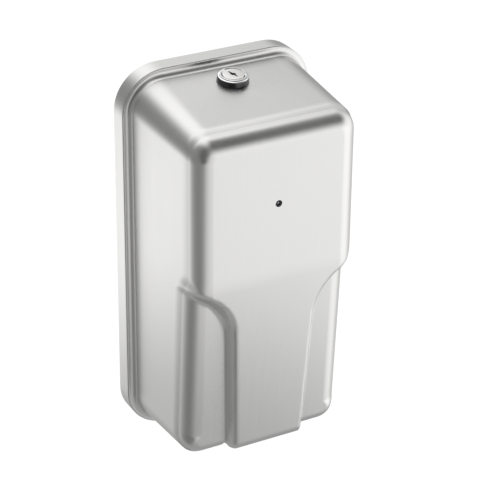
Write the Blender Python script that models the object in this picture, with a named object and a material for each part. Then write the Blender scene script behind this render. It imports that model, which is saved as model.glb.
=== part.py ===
"""Wall mounted automatic soap dispenser: a pressed steel cover hinged at its foot, locked at its top,
over a plastic chassis that carries the reservoir, the gear pump, the batteries and the electronics.

World frame: the wall is the plane y = 0, the front faces -Y, +Z is up, and the origin is the centre of
the back plate's rear face. Sizes below are millimetres; build_object() scales them to metres.
"""

import math

import bmesh
import bpy
import numpy as np
from mathutils import Vector

MM = 0.001
GAP = 0.3

# Cover: overall size, its flange, and the raised body in front of the flange
WIDTH = 155.0
HEIGHT = 300.0
DEPTH = 110.6
SHEET = 1.0
SKIRT_BACK = 2.0
FLANGE_DEPTH = 16.6
FLANGE_CORNER = 33.2
FLANGE_ROUND = 2.3
BASE_HALF = 71.2
BASE_TOP = 143.3
BASE_BOTTOM = -142.4
BASE_CORNER = 24.9
BASE_FILLET = 2.0
FRONT_HALF = 66.8
FRONT_TOP = 131.7
FRONT_BOTTOM = -135.9
FRONT_CORNER = 17.0
FRONT_ROUND = 14.5

# Front relief: below the crease the front leans back, and its sides step in beside a raised centre
CREASE_Z = 15.0
LEAN = 0.0606
STEP_DEPTH = 9.8
STEP_LOW_HALF = 30.9
STEP_LOW_Z = -30.0
STEP_TAPER = 0.042
STEP_SWEEP = 43.0
STEP_SWEEP_ANGLE = math.radians(57)
STEP_RUN = 9.0
STEP_TURN = 9.0
STEP_TURN_END = math.radians(62)
STEP_WIDTH_LOW = 6.8
STEP_WIDTH_HIGH = 9.5

# Openings of the cover
INDICATOR_Z = 72.5
INDICATOR_HOLE = 2.7
OUTLET_LO = (-35.0, -94.0)
OUTLET_HI = (35.0, -46.0)
NOTCH_HALF = 40.0
NOTCH_FRONT = -10.0

# Joint axes and the gear train
HINGE_Y = -6.0
HINGE_Z = -145.7
LOCK_Y = -40.0
LID_Y = -33.0
LID_Z = 81.5
PUMP_X = 34.0
PUMP_Y = -72.5
SHAFT_Z = -94.0
PITCH_MODULE = 1.0
PINION_TEETH = 12
REDUCTION_TEETH = 28
PUMP_TEETH = 12
MOTOR_Z = SHAFT_Z + PITCH_MODULE * (PINION_TEETH + REDUCTION_TEETH) / 2
IDLER_Z = SHAFT_Z - PITCH_MODULE * PUMP_TEETH

# Back plate, chassis and reservoir
PLATE_THICK = 2.0
PLATE_HALF = 73.0
PLATE_TOP = 146.0
PLATE_BOTTOM = -141.5
PLATE_CORNER = 29.0
SCREW_HOLE_X = 45.0
SCREW_HOLE_TOP = 125.0
SCREW_HOLE_BOTTOM = -136.5
CHASSIS_HALF = 60.0
CHASSIS_BACK = -2.3
CHASSIS_WALL = 3.0
SHELF_FRONT = -88.0
FLOOR_FRONT = -80.0
CHASSIS_TOP = 60.0
SHELF_Z = -41.0
FLOOR_Z = -128.0
RESERVOIR_LO = (-57.0, -88.0, -40.7)
RESERVOIR_HI = (57.0, -14.0, 78.0)
RESERVOIR_WALL = 2.2
SPOUT_X = 53.0

# Hinge, strike and lock
KNUCKLE_RADIUS = 3.0
KNUCKLE_BORE = 1.7
HINGE_PIN_RADIUS = 1.5
LEAF_HALF = 38.0
MIDDLE_HALF = 17.6
STRIKE_FOOT_Z = 115.0
STRIKE_HEIGHT = 14.0
LOCK_HOLE = 9.9
KEY_SLANT = math.radians(19)

# Tubes, shafts and wall holes
WALL_HOLE = 3.0
SPOUT_BORE = 2.6
TUBE_OUTER = 3.6
TUBE_INNER = 2.2
LID_HALF = 23.5
LID_PIN_RADIUS = 1.2
LID_BORE = 1.4
SHAFT_RADIUS = 2.0
SHAFT_BORE = 2.3
PIN_BORE = 1.7
MOTOR_SHAFT_RADIUS = 1.0
PUMP_ROOM = 7.5
TRAIN_FRONT = -59.6
TRAIN_BACK = -55.0
PUMP_GEAR_FRONT = -77.6
PUMP_GEAR_BACK = -67.6

# Battery bay
CELL_RADIUS = 13.1
CELL_LENGTH = 50.0
CELL_LEFT = -59.5
CELL_PITCH = 27.0
CELL_Y = (-37.5, -37.5 - CELL_PITCH)
CELL_Z = (-84.5, -84.5 - CELL_PITCH)
BAY_LO = (-62.5, -80.3, -127.5)
BAY_HI = (-6.5, -22.0, -68.8)
BAY_WALL = 1.6
DOOR_INSET = 1.3
CONTACT_THICK = 0.6
CONTACT_HALF = 24.0

TOP_SLOPE = (BASE_TOP - FRONT_TOP) / (DEPTH - FLANGE_DEPTH)
LOCK_TILT = math.atan(TOP_SLOPE)
LOCK_AXIS = Vector((0, -math.sin(LOCK_TILT), math.cos(LOCK_TILT)))
LOCK_BACK = Vector((0, math.cos(LOCK_TILT), math.sin(LOCK_TILT)))
LOCK_Z = BASE_TOP - TOP_SLOPE * (-LOCK_Y - FLANGE_DEPTH)
LOCK_FOOT = Vector((0, LOCK_Y, LOCK_Z))
HINGE_ORIGIN = (0, HINGE_Y, HINGE_Z)
LID_ORIGIN = (0, LID_Y, LID_Z)
X_AXIS = Vector((1, 0, 0))
Y_AXIS = Vector((0, 1, 0))
Z_AXIS = Vector((0, 0, 1))


def clear_scene():
    for obj in list(bpy.data.objects):
        bpy.data.objects.remove(obj, do_unlink=True)


def material(name, colour, roughness, metallic=0.0, alpha=1.0):
    """A Principled material, made once for each name."""
    found = bpy.data.materials.get(name)
    if found:
        return found
    made = bpy.data.materials.new(name)
    made.use_nodes = True
    shader = made.node_tree.nodes["Principled BSDF"]
    shader.inputs["Base Color"].default_value = (*colour, 1.0)
    shader.inputs["Roughness"].default_value = roughness
    shader.inputs["Metallic"].default_value = metallic
    shader.inputs["Alpha"].default_value = alpha
    return made


def steel():
    return material("brushed_steel", (0.62, 0.61, 0.60), 0.32, 1.0)


def zinc():
    return material("zinc_plated", (0.55, 0.56, 0.58), 0.35, 1.0)


def chrome():
    return material("chrome", (0.75, 0.75, 0.76), 0.12, 1.0)


def dark_plastic():
    return material("dark_plastic", (0.035, 0.036, 0.04), 0.5)


def grey_plastic():
    return material("grey_plastic", (0.32, 0.33, 0.34), 0.5)


def white_plastic():
    return material("white_plastic", (0.8, 0.8, 0.77), 0.4)


def clear_plastic():
    return material("translucent_plastic", (0.72, 0.78, 0.8), 0.25, 0.0, 0.5)


def board_green():
    return material("board_green", (0.03, 0.16, 0.07), 0.4)


def silicone():
    return material("silicone_tube", (0.75, 0.75, 0.72), 0.45)


def cell_jacket():
    return material("cell_jacket", (0.07, 0.08, 0.1), 0.35, 0.3)


def add_object(name, points, faces, look, origin=(0, 0, 0)):
    """An object from points in millimetres, with its origin on its own axis."""
    shift = Vector(origin)
    mesh = bpy.data.meshes.new(name)
    mesh.from_pydata([(Vector(point) - shift) * MM for point in points], [], faces)
    mesh.materials.append(look)
    made = bmesh.new()
    made.from_mesh(mesh)
    bmesh.ops.recalc_face_normals(made, faces=made.faces)
    made.to_mesh(mesh)
    made.free()
    mesh.shade_smooth()
    mesh.set_sharp_from_angle(angle=math.radians(30))
    obj = bpy.data.objects.new(name, mesh)
    obj.location = shift * MM
    bpy.context.scene.collection.objects.link(obj)
    return obj


def box(name, lo, hi, look, origin=(0, 0, 0)):
    points = [(x, y, z) for x in (lo[0], hi[0]) for y in (lo[1], hi[1]) for z in (lo[2], hi[2])]
    faces = [(0, 1, 3, 2), (4, 6, 7, 5), (0, 4, 5, 1), (2, 3, 7, 6), (0, 2, 6, 4), (1, 5, 7, 3)]
    return add_object(name, points, faces, look, origin)


def prism(name, outline, start, along, across, up, look, origin=(0, 0, 0)):
    """A flat outline of (across, up) pairs, from the point start, extruded by the vector along."""
    start = Vector(start)
    near = [start + across * a + up * b for a, b in outline]
    far = [point + Vector(along) for point in near]
    count = len(outline)
    faces = [tuple(range(count)), tuple(range(2 * count - 1, count - 1, -1))]
    for i in range(count):
        after = (i + 1) % count
        faces.append((i, i + count, after + count, after))
    return add_object(name, near + far, faces, look, origin)


def plate_y(name, outline, y_front, thickness, look, origin=(0, 0, 0)):
    """An (x, z) outline as a plate whose front is at y_front and whose back is nearer the wall."""
    return prism(name, outline, (0, y_front, 0), Y_AXIS * thickness, X_AXIS, Z_AXIS, look, origin)


def turned(name, profile, foot, axis, look, sides=24, origin=(0, 0, 0)):
    """A (radius, height) profile turned about an axis; a point at radius 0 closes the end."""
    axis = Vector(axis).normalized()
    across = axis.orthogonal().normalized()
    other = axis.cross(across)
    points = []
    rings = []
    for radius, height in profile:
        centre = Vector(foot) + axis * height
        if radius == 0:
            rings.append([len(points)])
            points.append(centre)
            continue
        rings.append(list(range(len(points), len(points) + sides)))
        for k in range(sides):
            angle = 2 * math.pi * (k + 0.5) / sides
            points.append(centre + (across * math.cos(angle) + other * math.sin(angle)) * radius)
    faces = []
    closed = profile[0][0] > 0
    for i in range(len(rings) if closed else len(rings) - 1):
        faces += strip(rings[i], rings[(i + 1) % len(rings)])
    return add_object(name, points, faces, look, origin)


def strip(first, second):
    """Faces between two closed rings, where a ring of one point is a tip."""
    count = max(len(first), len(second))
    faces = []
    for k in range(count):
        after = (k + 1) % count
        if len(first) == 1:
            faces.append((first[0], second[k], second[after]))
        elif len(second) == 1:
            faces.append((first[k], second[0], first[after]))
        else:
            faces.append((first[k], second[k], second[after], first[after]))
    return faces


def rod(name, radius, start, end, look, sides=16, origin=(0, 0, 0)):
    start = Vector(start)
    length = (Vector(end) - start).length
    profile = [(0, 0), (radius, 0), (radius, length), (0, length)]
    return turned(name, profile, start, Vector(end) - start, look, sides, origin)


def cut(target, *cutters):
    """Takes each cutter away from the target, and hides the cutter."""
    for cutter in cutters:
        boolean = target.modifiers.new("cut_" + cutter.name, "BOOLEAN")
        boolean.operation = "DIFFERENCE"
        boolean.object = cutter
        cutter.hide_render = True
        cutter.display_type = "WIRE"


def join(target, *others):
    """Adds each other shape to the target as one body, and hides the helper."""
    for other in others:
        boolean = target.modifiers.new("join_" + other.name, "BOOLEAN")
        boolean.operation = "UNION"
        boolean.object = other
        other.hide_render = True
        other.display_type = "WIRE"


def rounded_rectangle(lo, hi, radius, segments=4):
    points = []
    corners = [(hi[0], hi[1], 0), (lo[0], hi[1], 90), (lo[0], lo[1], 180), (hi[0], lo[1], 270)]
    for x, z, turn in corners:
        centre_x = x - math.copysign(radius, x - (lo[0] + hi[0]) / 2)
        centre_z = z - math.copysign(radius, z - (lo[1] + hi[1]) / 2)
        for k in range(segments + 1):
            angle = math.radians(turn + 90 * k / segments)
            points.append((centre_x + radius * math.cos(angle), centre_z + radius * math.sin(angle)))
    return points


def step_edge():
    """The raised centre's right edge as heights, half widths and slopes, from the foot up to the side."""
    low = np.linspace(-145, STEP_LOW_Z, 24)
    heights = list(low)
    halves = list(STEP_LOW_HALF + STEP_TAPER * (low - STEP_LOW_Z))
    for angle in np.linspace(0.08, STEP_SWEEP_ANGLE, 12):
        heights.append(STEP_LOW_Z + STEP_SWEEP * math.sin(angle))
        halves.append(STEP_LOW_HALF + STEP_SWEEP * (1 - math.cos(angle)))
    run_angle = math.pi / 2 - STEP_SWEEP_ANGLE
    heights.append(heights[-1] + STEP_RUN * math.sin(run_angle))
    halves.append(halves[-1] + STEP_RUN * math.cos(run_angle))
    turn_z = heights[-1] + STEP_TURN * math.cos(run_angle)
    turn_x = halves[-1] - STEP_TURN * math.sin(run_angle)
    for angle in np.linspace(run_angle, STEP_TURN_END, 5)[1:]:
        heights.append(turn_z - STEP_TURN * math.cos(angle))
        halves.append(turn_x + STEP_TURN * math.sin(angle))
    heights.append(heights[-1] + 20 * math.sin(STEP_TURN_END))
    halves.append(halves[-1] + 20 * math.cos(STEP_TURN_END))
    slopes = np.gradient(halves, heights)
    return np.array(heights), np.array(halves), slopes


STEP_HEIGHTS, STEP_HALVES, STEP_SLOPES = step_edge()


def step_place(z):
    """The raised edge's half width at a height, its slope, and the step's width measured square to it."""
    half = np.interp(z, STEP_HEIGHTS, STEP_HALVES)
    slope = np.interp(z, STEP_HEIGHTS, STEP_SLOPES)
    climb = min(max((z + 40) / 40, 0), 1)
    width = STEP_WIDTH_LOW + (STEP_WIDTH_HIGH - STEP_WIDTH_LOW) * climb * climb * (3 - 2 * climb)
    return float(half), float(slope), width


def setback(x, z):
    """How far the front lies behind its foremost plane at a place of the front view."""
    half, slope, width = step_place(z)
    away = (abs(x) - half) / math.hypot(1, slope) / width
    away = min(max(away, 0), 1)
    step = away * away * (3 - 2 * away)
    return LEAN * max(0, CREASE_Z - z) + STEP_DEPTH * step


def top_stations():
    """Places across a straight top or bottom edge, from -1 to 1, close together at the step."""
    half = [0.25, 0.51, 0.56, 0.60, 0.65, 0.82, 1.0]
    return [-u for u in reversed(half)] + [0.0] + half


def side_stations():
    """Heights down a straight side edge as fractions from top to bottom, close together at the step."""
    straight_top = FRONT_TOP - FRONT_CORNER
    straight_bottom = FRONT_BOTTOM + FRONT_CORNER
    heights = list(np.linspace(straight_top, 28, 5)[:-1])
    heights += list(np.linspace(28, -28, 13))
    heights += list(np.linspace(-28, straight_bottom, 6)[1:])
    return [(straight_top - z) / (straight_top - straight_bottom) for z in heights]


CORNER_STEPS = 2
TOP_STATIONS = top_stations()
SIDE_STATIONS = side_stations()


def corner(centre_x, centre_z, radius, start, end):
    """The inner points of part of a corner, ends left out, between two angles in degrees."""
    angles = np.linspace(math.radians(start), math.radians(end), CORNER_STEPS + 1)
    return [(centre_x + radius * math.cos(a), centre_z + radius * math.sin(a)) for a in angles]


def outline(half, top, bottom, radius):
    """The four sides of a rounded rectangle, each from one corner's middle to the next."""
    run = half - radius
    high = top - radius
    low = bottom + radius
    across = [(u * run, 0) for u in TOP_STATIONS]
    upper = corner(-run, high, radius, 135, 90)[:-1] + [(x, top) for x, _ in across]
    upper += corner(run, high, radius, 90, 45)[1:]
    heights = [high + (low - high) * v for v in SIDE_STATIONS]
    right = corner(run, high, radius, 45, 0)[:-1] + [(half, z) for z in heights]
    right += corner(run, low, radius, 0, -45)[1:]
    lower = corner(run, low, radius, -45, -90)[:-1] + [(x, bottom) for x, _ in reversed(across)]
    lower += corner(-run, low, radius, -90, -135)[1:]
    left = [(-x, z) for x, z in reversed(right)]
    return upper, right, lower, left


def ring(half, top, bottom, radius):
    upper, right, lower, left = outline(half, top, bottom, radius)
    return upper[:-1] + right[:-1] + lower[:-1] + left[:-1]


def wall_ring(depth):
    """The raised body's outline at a depth in front of the wall, on straight walls from base to front."""
    t = (depth - FLANGE_DEPTH) / (DEPTH - FLANGE_DEPTH)
    return (
        BASE_HALF + (FRONT_HALF - BASE_HALF) * t,
        BASE_TOP + (FRONT_TOP - BASE_TOP) * t,
        BASE_BOTTOM + (FRONT_BOTTOM - BASE_BOTTOM) * t,
        BASE_CORNER + (FRONT_CORNER - BASE_CORNER) * t,
    )


def inset(size, amount):
    half, top, bottom, radius = size
    return half - amount, top - amount, bottom + amount, radius - amount


def cover_rings():
    """Closed rings of (x, y, z) points from the skirt's rear edge to the rim of the front face."""
    flange = (WIDTH / 2, HEIGHT / 2, -HEIGHT / 2, FLANGE_CORNER)
    rings = []
    for depth, amount in (
        (SKIRT_BACK, 0),
        (FLANGE_DEPTH - FLANGE_ROUND, 0),
        (FLANGE_DEPTH - FLANGE_ROUND * 0.3, FLANGE_ROUND * 0.3),
        (FLANGE_DEPTH, FLANGE_ROUND),
    ):
        rings.append([(x, -depth, z) for x, z in ring(*inset(flange, amount))])
    foot = inset(wall_ring(FLANGE_DEPTH), -BASE_FILLET)
    rings.append([(x, -FLANGE_DEPTH, z) for x, z in ring(*foot)])
    base = FLANGE_DEPTH + BASE_FILLET
    rings.append([(x, -base, z) for x, z in ring(*wall_ring(base))])
    front = ring(*wall_ring(DEPTH))
    wall_end = []
    for x, z in front:
        column = len(wall_end)
        depth = DEPTH - setback(x, z) - FRONT_ROUND
        place = ring(*wall_ring(depth))[column]
        wall_end.append((place[0], -depth, place[1]))
    rings.append(wall_end)
    for angle in (30, 60, 90):
        turn = math.radians(angle)
        size = inset(wall_ring(DEPTH), FRONT_ROUND * (1 - math.cos(turn)))
        back = FRONT_ROUND * (1 - math.sin(turn))
        rings.append([(x, -DEPTH + back + setback(x, z), z) for x, z in ring(*size)])
    return rings


def face_row(z, reach, count):
    """Places across the front face at one height: close together along the step, then out to the rim."""
    half, _, width = step_place(z)
    foot = half + width
    outer = max(FRONT_HALF - FRONT_CORNER, foot + 2)
    targets = [half / 2, half, half + width / 3, half + width * 2 / 3, foot, (foot + outer) / 2, outer]
    places = []
    for k, target in enumerate(targets):
        places.append(min(target, reach * (1 - 0.022 * (count - 1 - k))))
    rim = np.linspace(places[-1], reach, count - len(targets) + 1)[1:]
    places += list(rim)
    return [-x for x in reversed(places)] + [0.0] + places


def cover_face():
    """The front face as rows of points, whose border is the last ring."""
    upper, right, lower, _ = outline(*inset(wall_ring(DEPTH), FRONT_ROUND))
    count = len(upper) // 2
    rows = [upper]
    for (reach, z) in right[1:-1]:
        rows.append([(x, z) for x in face_row(z, reach, count)])
    rows.append(list(reversed(lower)))
    return [[(x, -DEPTH + setback(x, z), z) for x, z in row] for row in rows]


def cover_shell():
    """The cover as one sheet: its outer surface, thickened inwards."""
    rings = cover_rings()
    points = []
    faces = []
    for one in rings:
        points += one
    size = len(rings[0])
    for i in range(len(rings) - 1):
        for k in range(size):
            after = (k + 1) % size
            low = i * size
            high = low + size
            faces.append((low + k, low + after, high + after, high + k))
    rows = cover_face()
    columns = len(rows[0])
    last = (len(rings) - 1) * size
    index = border_index(len(rows), columns, last, size)
    for j in range(1, len(rows) - 1):
        for i in range(1, columns - 1):
            index[j][i] = len(points)
            points.append(rows[j][i])
    for j in range(len(rows) - 1):
        for i in range(columns - 1):
            faces.append((index[j][i], index[j][i + 1], index[j + 1][i + 1], index[j + 1][i]))
    return points, faces


def border_index(rows, columns, first, size):
    """A table of point numbers for the front face, filled in round its border from the last ring."""
    index = [[None] * columns for _ in range(rows)]
    for k in range(size):
        if k < columns:
            place = (0, k)
        elif k < columns + rows - 1:
            place = (k - columns + 1, columns - 1)
        elif k < 2 * columns + rows - 2:
            place = (rows - 1, 2 * columns + rows - 3 - k)
        else:
            place = (size - k, 0)
        index[place[0]][place[1]] = first + k
    return index


def make_cover():
    points, faces = cover_shell()
    cover = add_object("cover", points, faces, steel(), HINGE_ORIGIN)
    sheet = cover.modifiers.new("sheet", "SOLIDIFY")
    sheet.thickness = SHEET * MM
    sheet.offset = -1
    sheet.use_even_offset = True
    hole_profile = [(0, -14), (LOCK_HOLE, -14), (LOCK_HOLE, 8), (0, 8)]
    lock_hole = turned("lock_hole_cutter", hole_profile, LOCK_FOOT, LOCK_AXIS, steel(), 32)
    behind = (0, -DEPTH + 4, INDICATOR_Z)
    before = (0, -DEPTH - 3, INDICATOR_Z)
    indicator = rod("indicator_cutter", INDICATOR_HOLE, before, behind, steel(), 24)
    outlet_plan = rounded_rectangle(OUTLET_LO, OUTLET_HI, 8)
    outlet = prism("outlet_cutter", outlet_plan, (0, 0, -148), Z_AXIS * 18, X_AXIS, Y_AXIS, steel())
    notch = box("notch_cutter", (-NOTCH_HALF, NOTCH_FRONT, -152), (NOTCH_HALF, 1, -146), steel())
    cut(cover, lock_hole, indicator, outlet, notch)


def make_back_plate():
    corners = rounded_rectangle((-PLATE_HALF, PLATE_BOTTOM), (PLATE_HALF, PLATE_TOP), PLATE_CORNER, 6)
    plate = plate_y("back_plate", corners, -PLATE_THICK, PLATE_THICK, steel())
    for x in (-SCREW_HOLE_X, SCREW_HOLE_X):
        for z in (SCREW_HOLE_TOP, SCREW_HOLE_BOTTOM):
            hole = rod(f"wall_hole_{x:.0f}_{z:.0f}", WALL_HOLE, (x, -5, z), (x, 3, z), steel(), 16)
            cut(plate, hole)


def round_profile(radius, sides=16):
    """A circle about the hinge's axis, as (y, z) points."""
    angles = [2 * math.pi * k / sides for k in range(sides)]
    return [(HINGE_Y + radius * math.cos(a), HINGE_Z + radius * math.sin(a)) for a in angles]


def hinge_bore(name):
    return prism(name, round_profile(KNUCKLE_BORE), (-45, 0, 0), X_AXIS * 90, Y_AXIS, Z_AXIS, zinc())


def make_hinge():
    """Two knuckles on the back plate's leaf, a wide one on the cover's leaf, and their pin."""
    leaf = box("hinge_leaf_fixed", (-LEAF_HALF, -4.2, -146.2), (LEAF_HALF, -2.3, -131.5), zinc())
    knuckle = round_profile(KNUCKLE_RADIUS)
    for side, start in (("left", -LEAF_HALF), ("right", LEAF_HALF - 20)):
        name = f"knuckle_{side}"
        join(leaf, prism(name, knuckle, (start, 0, 0), X_AXIS * 20, Y_AXIS, Z_AXIS, zinc()))
    relief = box("leaf_relief", (-18, -10, -149), (18, -2.1, -141.5), zinc())
    cut(leaf, relief, hinge_bore("leaf_bore"))

    strap_lo = (-MIDDLE_HALF, -14.5, -148.7)
    strap = box("hinge_leaf_cover", strap_lo, (MIDDLE_HALF, -5, -147.5), zinc(), HINGE_ORIGIN)
    foot = (-MIDDLE_HALF, 0, 0)
    middle = prism(
        "knuckle_middle", knuckle, foot, X_AXIS * 2 * MIDDLE_HALF, Y_AXIS, Z_AXIS, zinc(), HINGE_ORIGIN
    )
    join(strap, middle)
    cut(strap, hinge_bore("middle_bore"))
    end = LEAF_HALF + 0.6
    rod("hinge_pin", HINGE_PIN_RADIUS, (-end, HINGE_Y, HINGE_Z), (end, HINGE_Y, HINGE_Z), zinc(), 16)


def make_strike():
    """The catch for the lock's cam: a bracket whose lip stands in front of the turned cam."""
    run = [
        (14, -2.3), (14, -3.8), (32.5, -3.8), (32.5, -45.5),
        (15, -45.5), (15, -47), (34, -47), (34, -2.3),
    ]
    foot = (0, 0, STRIKE_FOOT_Z)
    prism("strike_bracket", run, foot, Z_AXIS * STRIKE_HEIGHT, X_AXIS, Y_AXIS, zinc())


def make_lock():
    """A cam lock through the cover's top, about an axis square to the sloping top face."""
    housing = [
        (8.3, -15), (9.5, -15), (9.5, 0.3), (12, 0.3),
        (12, 3.6), (11, 5.4), (9.2, 6.1), (8.3, 6.1),
    ]
    turned("lock_housing", housing, LOCK_FOOT, LOCK_AXIS, chrome(), 32, HINGE_ORIGIN)
    nut = [(9.8, -5.3), (13.5, -5.3), (13.5, -1.4), (9.8, -1.4)]
    turned("lock_nut", nut, LOCK_FOOT, LOCK_AXIS, zinc(), 24, HINGE_ORIGIN)

    profile = [(0, -18), (8, -18), (8, 5.2), (7.4, 5.8), (0, 5.8)]
    plug = turned("lock_plug", profile, LOCK_FOOT, LOCK_AXIS, chrome(), 32, LOCK_FOOT)
    key_along = (LOCK_BACK * math.cos(KEY_SLANT) - X_AXIS * math.sin(KEY_SLANT)).normalized()
    key_across = LOCK_AXIS.cross(key_along)
    keyway = [
        (-0.5, -4.4), (0.6, -4.4), (0.6, -1.2), (1.5, -0.6), (1.5, 1.2), (0.6, 1.8),
        (0.6, 4.4), (-0.5, 4.4), (-0.5, 1.0), (-1.4, 0.4), (-1.4, -1.4), (-0.5, -2.0),
    ]
    slot_foot = LOCK_FOOT - LOCK_AXIS * 6
    slot = prism("keyway_cutter", keyway, slot_foot, LOCK_AXIS * 16, key_across, key_along, chrome())
    cut(plug, slot)

    arm = [(-6, -6), (6, -6), (6, 24), (3, 28), (-3, 28), (-6, 24)]
    arm_foot = LOCK_FOOT - LOCK_AXIS * 20.3
    prism("lock_cam", arm, arm_foot, LOCK_AXIS * 2, X_AXIS, LOCK_BACK, zinc(), LOCK_FOOT)
    screw = [(0, -24.3), (4, -24.3), (4.6, -23.2), (4.6, -20.6), (0, -20.6)]
    turned("lock_cam_screw", screw, LOCK_FOOT, LOCK_AXIS, zinc(), 16, LOCK_FOOT)


def make_indicator():
    """The status lamp behind the hole in the cover's front, in its own snap-in holder."""
    front = (0, -DEPTH, INDICATOR_Z)
    holder = [(1.75, 0.1), (2.35, 0.1), (2.35, 1.3), (4.2, 1.3), (4.2, 8.5), (1.75, 8.5)]
    turned("indicator_holder", holder, front, Y_AXIS, dark_plastic(), 20, HINGE_ORIGIN)
    lamp = [(0, 0.7), (0.9, 0.9), (1.45, 1.7), (1.45, 9.0), (0, 9.0)]
    turned("indicator_lamp", lamp, front, Y_AXIS, clear_plastic(), 16, HINGE_ORIGIN)


def make_chassis():
    """Back wall, reservoir shelf and floor, as one moulding."""
    back = CHASSIS_BACK - CHASSIS_WALL
    side = [
        (CHASSIS_BACK, FLOOR_Z - CHASSIS_WALL), (CHASSIS_BACK, CHASSIS_TOP), (back, CHASSIS_TOP),
        (back, SHELF_Z), (SHELF_FRONT, SHELF_Z), (SHELF_FRONT, SHELF_Z - CHASSIS_WALL),
        (back, SHELF_Z - CHASSIS_WALL), (back, FLOOR_Z), (FLOOR_FRONT, FLOOR_Z),
        (FLOOR_FRONT, FLOOR_Z - CHASSIS_WALL),
    ]
    chassis = prism(
        "chassis", side, (-CHASSIS_HALF, 0, 0), X_AXIS * 2 * CHASSIS_HALF, Y_AXIS, Z_AXIS, grey_plastic()
    )
    nozzle_hole = rod(
        "nozzle_hole", 4.8, (0, PUMP_Y, FLOOR_Z - 5), (0, PUMP_Y, FLOOR_Z + 3), grey_plastic(), 24
    )
    spout_foot = (SPOUT_X, PUMP_Y, SHELF_Z - 6)
    spout_top = (SPOUT_X, PUMP_Y, SHELF_Z + 3)
    spout_hole = rod("spout_hole", 5.2, spout_foot, spout_top, grey_plastic(), 20)
    cut(chassis, nozzle_hole, spout_hole)
    number = 0
    for x in (-54, 54):
        for z in (SHELF_Z - 9.5, CHASSIS_TOP - 8):
            number += 1
            hole = rod(f"screw_hole_{number}", 2.0, (x, -8, z), (x, 0, z), grey_plastic(), 12)
            cut(chassis, hole)
            head = [(0, 0.1), (1.6, 0.1), (1.6, 3.3), (3.6, 3.3), (3.2, 5.2), (0, 5.2)]
            turned(f"chassis_screw_{number}", head, (x, CHASSIS_BACK, z), -Y_AXIS, zinc(), 16)


def make_reservoir():
    """A blow moulded tank with a filling mouth at its top and an outlet spout at its foot."""
    lo, hi, wall = RESERVOIR_LO, RESERVOIR_HI, RESERVOIR_WALL
    look = clear_plastic()
    plan = rounded_rectangle((lo[0], lo[1]), (hi[0], hi[1]), 10, 3)
    tank = prism("reservoir", plan, (0, 0, lo[2]), Z_AXIS * (hi[2] - lo[2]), X_AXIS, Y_AXIS, look)
    spout = rod("reservoir_spout", 4.6, (SPOUT_X, PUMP_Y, -45.7), (SPOUT_X, PUMP_Y, -38.7), look, 20)
    inner_plan = rounded_rectangle((lo[0] + wall, lo[1] + wall), (hi[0] - wall, hi[1] - wall), 8, 3)
    inner_rise = Z_AXIS * (hi[2] - lo[2] - 2 * wall)
    inner = prism("tank_space", inner_plan, (0, 0, lo[2] + wall), inner_rise, X_AXIS, Y_AXIS, look)
    mouth_plan = rounded_rectangle((-18, -60), (18, -38), 5)
    mouth = prism("tank_mouth", mouth_plan, (0, 0, 70), Z_AXIS * 14, X_AXIS, Y_AXIS, look)
    bore = rod("spout_bore", SPOUT_BORE, (SPOUT_X, PUMP_Y, -50), (SPOUT_X, PUMP_Y, -36), look, 16)
    ears = []
    for side in (-1, 1):
        ear_lo = (side * 24, LID_Y - 3, 76)
        ears.append(box(f"lid_ear_{side}", ear_lo, (side * 27, LID_Y + 3, 84.5), look))
    join(tank, spout, *ears)
    ear_bore = rod("ear_bore", LID_BORE, (-30, LID_Y, LID_Z), (30, LID_Y, LID_Z), look, 16)
    cut(tank, inner, mouth, bore, ear_bore)


def make_lid():
    """The filling lid, which lifts about a pin at its rear edge."""
    look = dark_plastic()
    left, right = -LID_HALF, LID_HALF
    lid = box("reservoir_lid", (left, -62.5, 78.4), (right, LID_Y - 2, 80.6), look, LID_ORIGIN)
    knuckle = rod("lid_knuckle", 2.8, (left, LID_Y, LID_Z), (right, LID_Y, LID_Z), look, 16)
    web = box("lid_web", (left, LID_Y - 5, 78.9), (right, LID_Y, 81.5), look)
    tab = box("lid_tab", (-7, -65, 78.4), (7, -61, 80.6), look)
    bore = rod("lid_bore", LID_BORE, (-30, LID_Y, LID_Z), (30, LID_Y, LID_Z), look, 16)
    join(lid, knuckle, web, tab)
    cut(lid, bore)
    rod("lid_pin", LID_PIN_RADIUS, (-27.5, LID_Y, LID_Z), (27.5, LID_Y, LID_Z), zinc(), 16)


def make_cells():
    """Four cells with their ends to the sides, turned about so that they stand in series."""
    cell = [
        (0, 0), (12, 0), (CELL_RADIUS, 1), (CELL_RADIUS, 47),
        (12, 48), (3, 48), (3, CELL_LENGTH), (0, CELL_LENGTH),
    ]
    number = 0
    for row, z in enumerate(CELL_Z):
        for column, y in enumerate(CELL_Y):
            number += 1
            flip = (row + column) % 2 == 1
            foot = (CELL_LEFT + (CELL_LENGTH if flip else 0), y, z)
            turned(f"battery_{number}", cell, foot, -X_AXIS if flip else X_AXIS, cell_jacket(), 16)


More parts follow.
